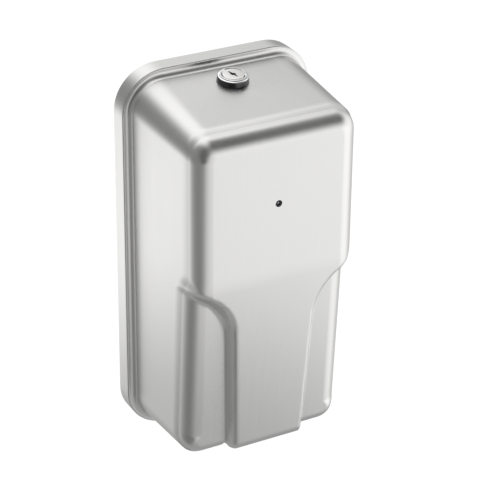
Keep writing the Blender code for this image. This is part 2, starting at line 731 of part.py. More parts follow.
def make_batteries():
    """The cells at the left of the lower bay, their contacts, and the box and door around them."""
    lo, hi, wall = BAY_LO, BAY_HI, BAY_WALL
    case = box("battery_box", lo, hi, dark_plastic())
    room_lo = (lo[0] + wall, lo[1] - 1, lo[2] + wall)
    room_hi = (hi[0] - wall, hi[1] - wall, hi[2] - wall)
    cut(case, box("battery_space", room_lo, room_hi, dark_plastic()))
    make_cells()
    middle_y = (CELL_Y[0] + CELL_Y[1]) / 2
    middle_z = (CELL_Z[0] + CELL_Z[1]) / 2
    left_x = lo[0] + wall + GAP
    right_x = hi[0] - wall - GAP - CONTACT_THICK
    for side, x in (("left", left_x), ("right", right_x)):
        near = (x, middle_y - CONTACT_HALF, middle_z - CONTACT_HALF)
        far = (x + CONTACT_THICK, middle_y + CONTACT_HALF, middle_z + CONTACT_HALF)
        box(f"battery_contact_{side}", near, far, zinc())
    door_back = lo[1] - GAP
    door_lo = (lo[0] + DOOR_INSET, lo[1] - 2.1, lo[2] + DOOR_INSET)
    door_hi = (hi[0] - DOOR_INSET, door_back, hi[2] - DOOR_INSET)
    door = box("battery_door", door_lo, door_hi, dark_plastic())
    for k in range(5):
        z = middle_z - 10 + 5 * k
        groove_lo = (-45, lo[1] - 2.5, z)
        cut(door, box(f"door_groove_{k}", groove_lo, (-25, lo[1] - 1.6, z + 1.5), dark_plastic()))


def make_electronics():
    """The control board over the battery box, its power switch, and the hand sensor beside the nozzle."""
    board = box("control_board", (-60, -80, -66.6), (-12, -28, -65), board_green())
    chip = box("board_chip", (-44, -60, -65.4), (-30, -46, -62.5), board_green())
    relay = box("board_relay", (-24, -48, -65.4), (-14, -34, -55), board_green())
    can = rod("board_capacitor", 4, (-52, -40, -65.4), (-52, -40, -54), board_green(), 16)
    join(board, chip, relay, can)
    for k, (x, y) in enumerate(((-57, -31), (-15, -77))):
        rod(f"board_spacer_{k + 1}", 2.5, (x, y, -68.5), (x, y, -66.9), grey_plastic(), 12)

    switch = box("power_switch_body", (-42, -86, -64.6), (-28, -74, -58), dark_plastic())
    track = box("switch_track", (-40, -87, -62.6), (-30, -82, -60), dark_plastic())
    cut(switch, track)
    slider_lo = (-39.4, -88.4, -62.3)
    box("power_switch_slider", slider_lo, (-34.6, -82.4, -60.3), white_plastic(), (-37, -86, -61.3))

    pod = box("sensor_housing", (-17, -64, -137.6), (17, -50, -131.3), dark_plastic())
    for side, x in (("emitter", -9), ("receiver", 9)):
        seat = rod(f"seat_{side}", 2.9, (x, -57, -140), (x, -57, -133), dark_plastic(), 16)
        cut(pod, seat)
        dome = [(0, 0), (2.5, 0), (2.5, 3.2), (1.8, 4.6), (0, 5.2)]
        turned(f"infrared_{side}", dome, (x, -57, -133.3), -Z_AXIS, dark_plastic(), 16)


def gear_outline(teeth, module, phase):
    """Straight-flanked teeth, thin enough to run in mesh with working backlash."""
    pitch = module * teeth / 2
    root = pitch - 1.25 * module
    tip = pitch + 0.85 * module
    step = 2 * math.pi / teeth
    points = []
    for k in range(teeth):
        middle = phase + step * k
        for radius, half in ((root, 0.33), (pitch, 0.215), (tip, 0.11)):
            points.append((radius, middle - half * step))
        for radius, half in ((tip, 0.11), (pitch, 0.215), (root, 0.33)):
            points.append((radius, middle + half * step))
    return [(radius * math.cos(angle), radius * math.sin(angle)) for radius, angle in points]


def make_gear(name, teeth, phase, z, front, back, bore):
    """A spur gear about the Y axis through (PUMP_X, z), its teeth from y front to y back."""
    look = white_plastic()
    foot = (PUMP_X, front, z)
    along = Y_AXIS * (back - front)
    teeth_outline = gear_outline(teeth, PITCH_MODULE, phase)
    gear = prism(name, teeth_outline, foot, along, X_AXIS, Z_AXIS, look, (PUMP_X, PUMP_Y, z))
    cut(gear, rod(name + "_bore", bore, (PUMP_X, front - 2, z), (PUMP_X, back + 2, z), look, 16))


def make_motor():
    can = [
        (0, -31), (11.2, -31), (12, -30), (12, -0.8), (11.2, 0),
        (3, 0), (3, 1.2), (1.4, 1.2), (1.4, -3), (0, -3),
    ]
    turned("motor", can, (PUMP_X, -51.8, MOTOR_Z), -Y_AXIS, zinc(), 24)
    front = (PUMP_X, -60, MOTOR_Z)
    back = (PUMP_X, -49.5, MOTOR_Z)
    rod("motor_shaft", MOTOR_SHAFT_RADIUS, front, back, zinc(), 12, (PUMP_X, PUMP_Y, MOTOR_Z))


def make_gearbox():
    """The reduction pair in mesh, the pump's shaft, and the two plates that carry them."""
    up = math.pi / 2
    half_tooth = math.pi / REDUCTION_TEETH
    make_gear("motor_pinion", PINION_TEETH, -up, MOTOR_Z, TRAIN_FRONT, TRAIN_BACK, 1.15)
    make_gear("reduction_gear", REDUCTION_TEETH, up + half_tooth, SHAFT_Z, TRAIN_FRONT, TRAIN_BACK, 2.15)
    front = (PUMP_X, PUMP_GEAR_FRONT, SHAFT_Z)
    back = (PUMP_X, -51.2, SHAFT_Z)
    rod("pump_shaft", SHAFT_RADIUS, front, back, zinc(), 16, (PUMP_X, PUMP_Y, SHAFT_Z))
    low = FLOOR_Z + GAP
    high = SHELF_Z - CHASSIS_WALL - GAP
    plates = {}
    for name, plate_front, plate_back in (("rear", -54.4, -53.3), ("front", -62.6, -60.6)):
        plate = box(f"gear_plate_{name}", (12, plate_front, low), (60, plate_back, high), grey_plastic())
        cut(plate, plate_bore(f"plate_shaft_hole_{name}", SHAFT_BORE, SHAFT_Z))
        plates[name] = plate
    cut(plates["rear"], plate_bore("plate_motor_hole", 3.4, MOTOR_Z))


def plate_bore(name, radius, z):
    return rod(name, radius, (PUMP_X, -70, z), (PUMP_X, -45, z), grey_plastic(), 16)


def make_pump():
    """A gear pump: two meshing gears in a body with a port on each side, closed by a front cover."""
    look = grey_plastic()
    body = box("pump_body", (20, -78, -120), (48, -62.9, -80), look)
    rooms = []
    for name, z in (("drive_room", SHAFT_Z), ("idler_room", IDLER_Z)):
        rooms.append(rod(name, PUMP_ROOM, (PUMP_X, -79, z), (PUMP_X, -67.2, z), look, 32))
    middle_z = (SHAFT_Z + IDLER_Z) / 2
    port = rod("port_bore", 2.4, (15, PUMP_Y, middle_z), (52, PUMP_Y, middle_z), look, 16)
    shaft_front = (PUMP_X, -70, SHAFT_Z)
    shaft_bore = rod("body_shaft_bore", SHAFT_BORE, shaft_front, (PUMP_X, -60, SHAFT_Z), look, 16)
    pin_bore = rod("body_pin_bore", PIN_BORE, (PUMP_X, -70, IDLER_Z), (PUMP_X, -64.5, IDLER_Z), look, 16)
    cut(body, *rooms, port, shaft_bore, pin_bore)
    up = math.pi / 2
    half_tooth = math.pi / PUMP_TEETH
    for name, phase, z, bore in (
        ("pump_drive_gear", -up, SHAFT_Z, 2.15),
        ("pump_idler_gear", up + half_tooth, IDLER_Z, 1.75),
    ):
        make_gear(name, PUMP_TEETH, phase, z, PUMP_GEAR_FRONT, PUMP_GEAR_BACK, bore)
    rod("idler_pin", 1.4, (PUMP_X, -77.7, IDLER_Z), (PUMP_X, -65, IDLER_Z), zinc(), 12)
    front = box("pump_cover", (20, -81, -120), (48, -78.3, -80), look)
    make_pump_screws(body, front)


def make_pump_screws(body, front):
    screw = [(0, -8), (1.3, -8), (1.3, 0.3), (2.6, 0.3), (2.3, 1.8), (0, 1.8)]
    places = [(x, z) for x in (23, 45) for z in (-117, -83)]
    for number, (x, z) in enumerate(places, start=1):
        through = rod(f"pump_screw_hole_{number}", 1.6, (x, -83, z), (x, -70, z), grey_plastic(), 12)
        cut(front, through)
        cut(body, through)
        turned(f"pump_screw_{number}", screw, (x, -81, z), -Y_AXIS, zinc(), 12)


def swept_tube(name, path, outer, inner, look, sides=14):
    """A tube with an open bore along a path of points."""
    points = []
    rings = {outer: [], inner: []}
    path = [Vector(place) for place in path]
    for i, place in enumerate(path):
        before = path[max(i - 1, 0)]
        after = path[min(i + 1, len(path) - 1)]
        along = (after - before).normalized()
        other = along.cross(Y_AXIS).normalized()
        for radius in (outer, inner):
            rings[radius].append(list(range(len(points), len(points) + sides)))
            for k in range(sides):
                angle = 2 * math.pi * k / sides
                points.append(place + (Y_AXIS * math.cos(angle) + other * math.sin(angle)) * radius)
    faces = []
    for radius in (outer, inner):
        for i in range(len(path) - 1):
            faces += strip(rings[radius][i], rings[radius][i + 1])
    faces += strip(rings[outer][0], rings[inner][0])
    faces += strip(rings[outer][-1], rings[inner][-1])
    add_object(name, points, faces, look)


def elbow(start, corner_point, end, radius, steps=6):
    """A path from start to end round a corner, with a bend of the given radius."""
    start, corner_point, end = Vector(start), Vector(corner_point), Vector(end)
    back = (start - corner_point).normalized()
    on = (end - corner_point).normalized()
    centre = corner_point + (back + on) * radius
    path = [start]
    for k in range(steps + 1):
        angle = math.pi / 2 * k / steps
        path.append(centre - on * radius * math.cos(angle) - back * radius * math.sin(angle))
    path.append(end)
    return path


def make_tubes():
    """The suction tube from the reservoir, the delivery tube, and the nozzle over the user's hand."""
    middle_z = (SHAFT_Z + IDLER_Z) / 2
    inlet = elbow((SPOUT_X, PUMP_Y, -46.1), (SPOUT_X, PUMP_Y, middle_z), (48.3, PUMP_Y, middle_z), 4.2)
    swept_tube("inlet_tube", inlet, TUBE_OUTER, TUBE_INNER, silicone())
    outlet = elbow((19.7, PUMP_Y, middle_z), (0, PUMP_Y, middle_z), (0, PUMP_Y, -117.7), 8)
    swept_tube("outlet_tube", outlet, TUBE_OUTER, TUBE_INNER, silicone())
    nozzle = [
        (2.2, -118), (4.4, -118), (5.8, -121), (5.8, -127.6),
        (4.4, -127.6), (4.4, -136), (3.6, -140.5), (2.2, -140.5),
    ]
    turned("nozzle", nozzle, (0, PUMP_Y, 0), Z_AXIS, dark_plastic(), 20)


def build_object():
    clear_scene()
    make_cover()
    make_back_plate()
    make_hinge()
    make_strike()
    make_lock()
    make_indicator()
    make_chassis()
    make_reservoir()
    make_lid()
    make_batteries()
    make_electronics()
    make_motor()
    make_gearbox()
    make_pump()
    make_tubes()


build_object()
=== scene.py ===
"""The looks of the wall mounted soap dispenser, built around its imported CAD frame.

The steel cover, its lock and its status lamp are made again as fine meshes. The inner pieces keep
their CAD shapes, and get bevels and procedural materials. All lengths are metres.
"""

import math

import bpy
import numpy as np
from mathutils import Matrix, Vector


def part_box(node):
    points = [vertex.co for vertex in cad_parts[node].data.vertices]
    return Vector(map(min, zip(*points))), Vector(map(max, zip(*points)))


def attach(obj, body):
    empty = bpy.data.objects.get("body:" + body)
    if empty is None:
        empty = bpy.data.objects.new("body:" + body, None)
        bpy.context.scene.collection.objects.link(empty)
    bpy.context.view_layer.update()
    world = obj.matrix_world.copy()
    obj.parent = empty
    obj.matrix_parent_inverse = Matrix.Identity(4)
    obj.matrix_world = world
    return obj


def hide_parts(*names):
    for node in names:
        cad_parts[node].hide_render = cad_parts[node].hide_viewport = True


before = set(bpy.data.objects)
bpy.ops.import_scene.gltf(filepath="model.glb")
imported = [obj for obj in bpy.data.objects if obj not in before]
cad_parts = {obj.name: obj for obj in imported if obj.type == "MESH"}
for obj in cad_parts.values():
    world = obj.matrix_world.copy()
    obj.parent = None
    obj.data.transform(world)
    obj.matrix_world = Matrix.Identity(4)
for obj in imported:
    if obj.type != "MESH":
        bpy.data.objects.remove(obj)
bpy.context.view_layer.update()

MM = 0.001

# Camera: where it stands round the object, and its lens
CAMERA_AZIMUTH = math.radians(-28.68)
CAMERA_ELEVATION = math.radians(27.79)
CAMERA_ROLL = math.radians(0.58)
CAMERA_DISTANCE = 1.496
CAMERA_TARGET = Vector((0.0001, -0.0600, 0.0155))
CAMERA_LENS = 147.75
SENSOR_WIDTH = 36.0

# Cover: overall size from the frame, then its own rounds and relief. BASE_SIZE and FRONT_SIZE are
# rounded rectangles, as half width, top, bottom and corner radius
COVER_LO, COVER_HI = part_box("cover")
HALF_WIDTH = COVER_HI.x
HALF_HEIGHT = COVER_HI.z
DEPTH = -COVER_LO.y
SKIRT_BACK = -COVER_HI.y
SHEET = 1.0 * MM
FLANGE_DEPTH = 16.6 * MM
FLANGE_CORNER = 33.2 * MM
FLANGE_ROUND = 1.3 * MM
BASE_SIZE = np.array([71.2, 143.3, -142.4, 24.9]) * MM
FRONT_SIZE = np.array([66.8, 131.7, -135.9, 17.0]) * MM
BASE_FILLET = 4.0 * MM
FRONT_ROUND = 14.5 * MM
FOOT_ROUND = 7.5 * MM
FOOT_BLEND = (-136.5 * MM, -117 * MM)
# The front leans back below a soft crease
CREASE_Z = 15.0 * MM
CREASE_SOFT = 6.0 * MM
LEAN = 0.0606
# The step down to each lower corner: its edge rises with a slight taper, sweeps outwards, runs
# straight and turns into the side. STEP_SWEEP_START is the sweep's first angle, in radians
STEP_DEPTH = 9.8 * MM
STEP_LOW_HALF = 30.9 * MM
STEP_FOOT_Z = -145.0 * MM
STEP_LOW_Z = -30.0 * MM
STEP_TAPER = 0.042
STEP_SWEEP = 43.0 * MM
STEP_SWEEP_START = 0.06
STEP_SWEEP_ANGLE = math.radians(57)
STEP_RUN = 9.0 * MM
STEP_TURN = 9.0 * MM
STEP_TURN_END = math.radians(62)
STEP_END_RUN = 20.0 * MM
STEP_WIDTH_LOW = 6.8 * MM
STEP_WIDTH_HIGH = 9.5 * MM
STEP_EDGE_SHARE = 0.34
STEP_WIDTH_BLEND = 40.0 * MM
STEP_POINTS = 40
STEP_TURN_POINTS = 12
STEP_RUN_PARTS = 6

# Openings of the cover
HOLDER_LO, HOLDER_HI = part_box("indicator_holder")
INDICATOR_Z = (HOLDER_LO.z + HOLDER_HI.z) / 2
INDICATOR_HOLE = 2.7 * MM
HOLDER_BORE = 1.75 * MM
HOLDER_RADIUS = 4.2 * MM
HOLDER_BACK = 8.5 * MM
LAMP_RADIUS = 1.5 * MM
LAMP_BACK = 9.0 * MM
DOME_FOOT = 2.2 * MM
DOME_RISE = 1.3 * MM
OUTLET_LO = (-35.0 * MM, -94.0 * MM)
OUTLET_HI = (35.0 * MM, -46.0 * MM)
OUTLET_CORNER = 8.0 * MM
NOTCH_HALF = 40.0 * MM
NOTCH_FRONT = -10.0 * MM

# Lock: its axis is square to the sloping top
TOP_SLOPE = (BASE_SIZE[1] - FRONT_SIZE[1]) / (DEPTH - FLANGE_DEPTH)
LOCK_TILT = math.atan(TOP_SLOPE)
LOCK_AXIS = Vector((0, -math.sin(LOCK_TILT), math.cos(LOCK_TILT)))
LOCK_BACK = Vector((0, math.cos(LOCK_TILT), math.sin(LOCK_TILT)))
LOCK_Y = -40.0 * MM
LOCK_FOOT = Vector((0, LOCK_Y, BASE_SIZE[1] - TOP_SLOPE * (-LOCK_Y - FLANGE_DEPTH)))
KEY_TURN = math.radians(19)
LOCK_HOLE = 9.9 * MM
LOCK_BORE = 8.3 * MM
PLUG_RADIUS = 8.0 * MM
PLUG_FACE = 5.7 * MM
BARREL_RADIUS = 9.2 * MM
BARREL_LENGTH = 15.0 * MM
THREAD_CREST = 9.5 * MM
THREAD_ROOT = 9.1 * MM
THREAD_PITCH = 1.0 * MM
THREAD_TURNS = 14
# Sideways bezel faces beyond this radius get near-black chrome: a painted dark reflection
BEZEL_PAINTED_SHADE_RADIUS = 11.0 * MM
BEZEL_PAINTED_SHADE_LEAN = 0.5
X_AXIS = Vector((1, 0, 0))
Y_AXIS = Vector((0, 1, 0))
Z_AXIS = Vector((0, 0, 1))

# Studio: strength of the light tent as reflections see it, and of the plain light that all else sees
TENT_LIGHT = 1.42
PLAIN_LIGHT = 1.15
# How the tent darkens straight down: cosines where it begins and ends, and gains there
GROUND_FADE = (0.50, 0.78, 1.0, 0.60)
# Soft patches of the tent: direction, cosines where the patch begins and is whole, and its gain
TENT_PATCHES = [
    ((-0.85, -0.42, 0.20), 0.26, 0.78, 0.20),
    ((0.425, -0.45, 0.785), 0.75, 0.985, 0.08),
    ((0.425, -0.76, 0.50), 0.84, 0.985, 0.60),
    ((-0.425, -0.776, 0.466), 0.74, 0.98, 0.30),
    ((-0.47, -0.86, -0.18), 0.955, 0.99, 0.15),
    ((0.15, -0.93, -0.35), 0.86, 0.99, 0.74),
    ((-0.59, 0.776, 0.17), 0.79, 0.98, 0.22),
    ((0.70, 0.62, 0.42), 0.78, 0.985, 0.60),
    ((0.62, 0.776, -0.13), 0.87, 0.98, 0.38),
    ((0.77, 0.43, -0.47), 0.82, 0.98, 0.56),
    ((0.75, -0.62, -0.30), 0.85, 0.99, 1.12),
]
# Grey cards that only reflections see: name, place, the way it faces, half sizes, width of the soft
# edge, the share of light it hides, and its own brightness
SHADE_CARDS = [
    ("ground_shade", (-0.15, -0.06, -0.36), (0, 0, 1), (0.57, 0.64), 0.30, 0.51, 0.12),
    ("right_shade", (0.35, 0.20, 0.40), (1, 0, 0), (0.45, 0.45), 0.35, 0.20, 0.12),
]
FLOOR_HALF = 14.0
FLOOR_LEVEL = -0.75

# Fineness of the cover's mesh: steps in half a corner, points along the straight edges, and rings.
# The first ring of the flange's round is at FLANGE_FIRST_RING degrees
CORNER_STEPS = 9
ACROSS_COUNT = int(2 * (FRONT_SIZE[0] - FRONT_SIZE[3]) / (1.5 * MM))
DOWN_COUNT = int((FRONT_SIZE[1] - FRONT_SIZE[2] - 2 * FRONT_SIZE[3]) / (1.6 * MM))
SKIRT_RINGS = 5
FLANGE_RINGS = 8
FLANGE_FIRST_RING = 11
FILLET_RINGS = 6
WALL_RINGS = 13
FRONT_RINGS = 11
# Angles in degrees above which an edge stays sharp, on most pieces and on the cover, and above which
# it gets a bevel
SHARP_ANGLE = 35
COVER_SHARP_ANGLE = 50
BEVEL_ANGLE = 40


# ---------------------------------------------------------------- cover shape


def step_edge():
    """The raised centre's right edge as heights, half widths and slopes, from the foot up to the side."""
    low = np.linspace(STEP_FOOT_Z, STEP_LOW_Z, STEP_POINTS)
    heights = list(low)
    halves = list(STEP_LOW_HALF + STEP_TAPER * (low - STEP_LOW_Z))
    for angle in np.linspace(STEP_SWEEP_START, STEP_SWEEP_ANGLE, STEP_POINTS):
        heights.append(STEP_LOW_Z + STEP_SWEEP * math.sin(angle))
        halves.append(STEP_LOW_HALF + STEP_SWEEP * (1 - math.cos(angle)))
    run_angle = math.pi / 2 - STEP_SWEEP_ANGLE
    run = STEP_RUN / STEP_RUN_PARTS
    for _ in range(STEP_RUN_PARTS):
        heights.append(heights[-1] + run * math.sin(run_angle))
        halves.append(halves[-1] + run * math.cos(run_angle))
    turn_z = heights[-1] + STEP_TURN * math.cos(run_angle)
    turn_x = halves[-1] - STEP_TURN * math.sin(run_angle)
    for angle in np.linspace(run_angle, STEP_TURN_END, STEP_TURN_POINTS)[1:]:
        heights.append(turn_z - STEP_TURN * math.cos(angle))
        halves.append(turn_x + STEP_TURN * math.sin(angle))
    run = STEP_END_RUN / STEP_RUN_PARTS
    for _ in range(STEP_RUN_PARTS):
        heights.append(heights[-1] + run * math.sin(STEP_TURN_END))
        halves.append(halves[-1] + run * math.cos(STEP_TURN_END))
    slopes = np.gradient(halves, heights)
    return np.array(heights), np.array(halves), slopes


STEP_HEIGHTS, STEP_HALVES, STEP_SLOPES = step_edge()


def smooth(t):
    t = np.clip(t, 0, 1)
    return t * t * (3 - 2 * t)


def step_profile(t):
    """From 0 to 1 along the step: a straight wall between two short rounds."""
    t = np.clip(t, 0, 1)
    e = STEP_EDGE_SHARE
    rise = t * t / (2 * e * (1 - e))
    middle = (t - e / 2) / (1 - e)
    settle = 1 - (1 - t) ** 2 / (2 * e * (1 - e))
    return np.where(t < e, rise, np.where(t > 1 - e, settle, middle))


def setback(x, z):
    """How far the front lies behind its foremost plane, for arrays of places in the front view."""
    half = np.interp(z, STEP_HEIGHTS, STEP_HALVES)
    slope = np.interp(z, STEP_HEIGHTS, STEP_SLOPES)
    rising = smooth((z + STEP_WIDTH_BLEND) / STEP_WIDTH_BLEND)
    width = STEP_WIDTH_LOW + (STEP_WIDTH_HIGH - STEP_WIDTH_LOW) * rising
    away = (np.abs(x) - half) / np.hypot(1, slope) / width
    below = CREASE_Z - z
    bend = (below + CREASE_SOFT) ** 2 / (4 * CREASE_SOFT)
    lean = LEAN * np.where(np.abs(below) < CREASE_SOFT, bend, np.maximum(below, 0))
    return lean + STEP_DEPTH * step_profile(away)


def outline(size):
    """Top, right, bottom and left of a rounded rectangle, each from one corner's middle to the next."""
    half, top, bottom, radius = size
    run = half - radius
    high = top - radius
    low = bottom + radius
    across = np.linspace(-run, run, ACROSS_COUNT)
    down = np.linspace(high, low, DOWN_COUNT)

    def eighth(centre_x, centre_z, start):
        angles = np.radians(np.linspace(start, start - 45, CORNER_STEPS + 1))
        return np.stack([centre_x + radius * np.cos(angles), centre_z + radius * np.sin(angles)], 1)

    along_top = np.stack([across, np.full_like(across, top)], 1)
    along_side = np.stack([np.full_like(down, half), down], 1)
    along_foot = np.stack([-across, np.full_like(across, bottom)], 1)
    upper = np.concatenate([eighth(-run, high, 135)[:-1], along_top, eighth(run, high, 90)[1:]])
    right = np.concatenate([eighth(run, high, 45)[:-1], along_side, eighth(run, low, 0)[1:]])
    lower = np.concatenate([eighth(run, low, -45)[:-1], along_foot, eighth(-run, low, -90)[1:]])
    left = right[::-1] * (-1, 1)
    return upper, right, lower, left


def ring(size):
    return np.concatenate([side[:-1] for side in outline(size)])


def inset(size, amount):
    return np.array(size) + np.array([-amount, -amount, amount, -amount])


def wall_size(depth):
    t = (depth - FLANGE_DEPTH) / (DEPTH - FLANGE_DEPTH)
    return BASE_SIZE + (FRONT_SIZE - BASE_SIZE) * t


def lifted(places, depth):
    """(x, z) places as (x, y, z) points at one depth or an array of depths in front of the wall."""
    return np.stack([places[:, 0], np.broadcast_to(-depth, len(places)), places[:, 1]], 1)


def front_round(z):
    """The round between the walls and the front: wide at the top and the sides, tight at the foot."""
    start, end = FOOT_BLEND
    return FOOT_ROUND + (FRONT_ROUND - FOOT_ROUND) * smooth((z - start) / (end - start))


def rounded_in(places, shape, share):
    """Places of the front's outline moved inwards by a share of the round at each of them."""
    inwards = shape(inset(FRONT_SIZE, FOOT_ROUND)) - shape(FRONT_SIZE)
    return places + inwards * (front_round(places[:, 1]) / FOOT_ROUND * share)[:, None]


def cover_rings():
    """Closed rings of points from the skirt's rear edge to the rim of the front face."""
    flange = np.array([HALF_WIDTH, HALF_HEIGHT, -HALF_HEIGHT, FLANGE_CORNER])
    rings = []
    for depth in np.linspace(SKIRT_BACK, FLANGE_DEPTH - FLANGE_ROUND, SKIRT_RINGS):
        rings.append(lifted(ring(flange), depth))
    for angle in np.radians(np.linspace(FLANGE_FIRST_RING, 90, FLANGE_RINGS)):
        size = inset(flange, FLANGE_ROUND * (1 - math.cos(angle)))
        rings.append(lifted(ring(size), FLANGE_DEPTH - FLANGE_ROUND * (1 - math.sin(angle))))
    foot = inset(wall_size(FLANGE_DEPTH), -BASE_FILLET)
    middle = (inset(flange, FLANGE_ROUND) + foot) / 2
    rings.append(lifted(ring(middle), FLANGE_DEPTH))
    for angle in np.radians(np.linspace(0, 90, FILLET_RINGS)):
        out = BASE_FILLET * (1 - math.sin(angle))
        depth = FLANGE_DEPTH + BASE_FILLET * (1 - math.cos(angle))
        rings.append(lifted(ring(inset(wall_size(depth), -out)), depth))
    first = FLANGE_DEPTH + BASE_FILLET
    front = ring(FRONT_SIZE)
    ends = DEPTH - setback(front[:, 0], front[:, 1]) - front_round(front[:, 1])
    near = ring(wall_size(0.0))
    far = ring(wall_size(1.0))
    for t in np.linspace(0, 1, WALL_RINGS + 1)[1:]:
        depths = first + (ends - first) * t
        rings.append(lifted(near + (far - near) * depths[:, None], depths))
    rounds = front_round(front[:, 1])
    for angle in np.radians(np.linspace(0, 90, FRONT_RINGS + 1)[1:]):
        places = rounded_in(front, ring, 1 - math.cos(angle))
        back = rounds * (1 - math.sin(angle)) + setback(places[:, 0], places[:, 1])
        rings.append(lifted(places, DEPTH - back))
    return rings


def front_rim(side):
    """One side of the front face's rim: 0 is the top, 1 the right and 2 the foot."""
    return rounded_in(outline(FRONT_SIZE)[side], lambda size: outline(size)[side], 1.0)


def face_rows():
    """The front face as rows of points whose border is the last ring."""
    upper = front_rim(0)
    right = front_rim(1)
    lower = front_rim(2)[::-1]
    rows = []
    count = len(right)
    for j, (half, z) in enumerate(right):
        rim = upper if j < count / 2 else lower
        blend = max(0, 1 - min(j, count - 1 - j) / CORNER_STEPS)
        heights = z + (rim[:, 1] - rim[0, 1]) * blend
        places = np.stack([rim[:, 0] * half / rim[-1, 0], heights], 1)
        rows.append(lifted(places, DEPTH - setback(places[:, 0], places[:, 1])))
    return rows


def border_places(rows, columns):
    """Row and column of each point of a grid's border, in the order of a ring."""
    places = [(0, k) for k in range(columns - 1)]
    places += [(k, columns - 1) for k in range(rows - 1)]
    places += [(rows - 1, k) for k in range(columns - 1, 0, -1)]
    places += [(k, 0) for k in range(rows - 1, 0, -1)]
    return places


def cover_sheet():
    """Points and faces of the cover's outer surface, facing out."""
    rings = cover_rings()
    size = len(rings[0])
    points = [tuple(point) for points_round in rings for point in points_round]
    faces = []
    for i in range(len(rings) - 1):
        for k in range(size):
            after = (k + 1) % size
            low = i * size
            high = low + size
            faces.append((low + k, high + k, high + after, low + after))
    rows = face_rows()
    columns = len(rows[0])
    last = (len(rings) - 1) * size
    number = np.full((len(rows), columns), -1)
    for k, place in enumerate(border_places(len(rows), columns)):
        number[place] = last + k
    for j in range(1, len(rows) - 1):
        for i in range(1, columns - 1):
            number[j, i] = len(points)
            points.append(tuple(rows[j][i]))
    for j in range(len(rows) - 1):
        for i in range(columns - 1):
            corners = (number[j, i], number[j + 1, i], number[j + 1, i + 1], number[j, i + 1])
            faces.append(tuple(int(corner) for corner in corners))
    return points, faces


# ---------------------------------------------------------------- mesh helpers


def shade(mesh, sharp=SHARP_ANGLE):
    mesh.shade_smooth()
    mesh.set_sharp_from_angle(angle=math.radians(sharp))


def new_object(name, points, faces, look):
    mesh = bpy.data.meshes.new(name)
    mesh.from_pydata(points, [], faces)
    mesh.update()
    shade(mesh)
    mesh.materials.append(look)
    obj = bpy.data.objects.new(name, mesh)
    bpy.context.scene.collection.objects.link(obj)
    return obj


def turned(name, profile, foot, axis, look, sides=96):
    """A closed (radius, height) profile turned about an axis; a point at radius 0 closes that end."""
    axis = Vector(axis).normalized()
    across = axis.orthogonal().normalized()
    other = axis.cross(across)
    points = []
    rings = []
    for radius, height in profile:
        centre = Vector(foot) + axis * height
        count = sides if radius > 0 else 1
        rings.append(list(range(len(points), len(points) + count)))
        for k in range(count):
            angle = 2 * math.pi * (k + 0.5) / count
            points.append(centre + (across * math.cos(angle) + other * math.sin(angle)) * radius)
    faces = []
    last = len(rings) if profile[0][0] > 0 else len(rings) - 1
    for i in range(last):
        low = rings[i]
        high = rings[(i + 1) % len(rings)]
        for k in range(sides):
            after = (k + 1) % sides
            ends = [low[k % len(low)], low[after % len(low)]]
            ends += [high[after % len(high)], high[k % len(high)]]
            faces.append(list(dict.fromkeys(ends)))
    return new_object(name, points, faces, look)


def prism(name, places, start, along, across, up, look):
    """A flat outline of (across, up) pairs, in order, extruded by the vector along."""
    near = [Vector(start) + across * a + up * b for a, b in places]
    far = [point + Vector(along) for point in near]
    count = len(places)
    faces = [tuple(reversed(range(count))), tuple(range(count, 2 * count))]
    for i in range(count):
        after = (i + 1) % count
        faces.append((i, after, after + count, i + count))
    obj = new_object(name, near + far, faces, look)
    if along.dot(across.cross(up)) < 0:
        obj.data.flip_normals()
    return obj


def rounded_rectangle(lo, hi, radius, segments=8):
    places = []
    corners = ((hi[0], hi[1], 0), (lo[0], hi[1], 90), (lo[0], lo[1], 180), (hi[0], lo[1], 270))
    for x, y, turn in corners:
        centre_x = x - math.copysign(radius, x - (lo[0] + hi[0]) / 2)
        centre_y = y - math.copysign(radius, y - (lo[1] + hi[1]) / 2)
        for k in range(segments + 1):
            angle = math.radians(turn + 90 * k / segments)
            places.append((centre_x + radius * math.cos(angle), centre_y + radius * math.sin(angle)))
    return places


def apply_modifiers(obj):
    """Bakes the object's modifiers into its mesh."""
    bpy.context.view_layer.update()
    graph = bpy.context.evaluated_depsgraph_get()
    mesh = bpy.data.meshes.new_from_object(obj.evaluated_get(graph))
    obj.modifiers.clear()
    obj.data = mesh


def cut(obj, cutters):
    """Takes the cutters away from the object, and removes them."""
    for cutter in cutters:
        boolean = obj.modifiers.new(cutter.name, "BOOLEAN")
        boolean.operation = "DIFFERENCE"
        boolean.object = cutter
    apply_modifiers(obj)
    for cutter in cutters:
        bpy.data.objects.remove(cutter, do_unlink=True)


def bevelled(name, width):
    """Softens the edges of a CAD node without touching its mesh."""
    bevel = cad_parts[name].modifiers.new("soft_edges", "BEVEL")
    bevel.width = width
    bevel.segments = 2
    bevel.limit_method = "ANGLE"
    bevel.angle_limit = math.radians(BEVEL_ANGLE)
    bevel.harden_normals = True


# ---------------------------------------------------------------- materials


class Tree:
    """A short way to write a node tree."""

    def __init__(self, tree):
        self.tree = tree

    def add(self, kind, **values):
        node = self.tree.nodes.new(kind)
        for name, value in values.items():
            if hasattr(node, name):
                setattr(node, name, value)
            else:
                node.inputs[name].default_value = value
        return node

    def link(self, source, target):
        self.tree.links.new(source, target)

    def ranged(self, source, low, high, start=0.0, end=1.0, soft=False):
        """The source's range from start to end, carried over to low to high."""
        node = self.add("ShaderNodeMapRange")
        if soft:
            node.interpolation_type = "SMOOTHSTEP"
        for name, value in zip(("From Min", "From Max", "To Min", "To Max"), (start, end, low, high)):
            node.inputs[name].default_value = value
        self.link(source, node.inputs["Value"])
        return node.outputs["Result"]

    def maths(self, operation, first, second):
        node = self.add("ShaderNodeMath", operation=operation)
        for slot, value in zip(node.inputs, (first, second)):
            if isinstance(value, float):
                slot.default_value = value
            else:
                self.link(value, slot)
        return node.outputs["Value"]


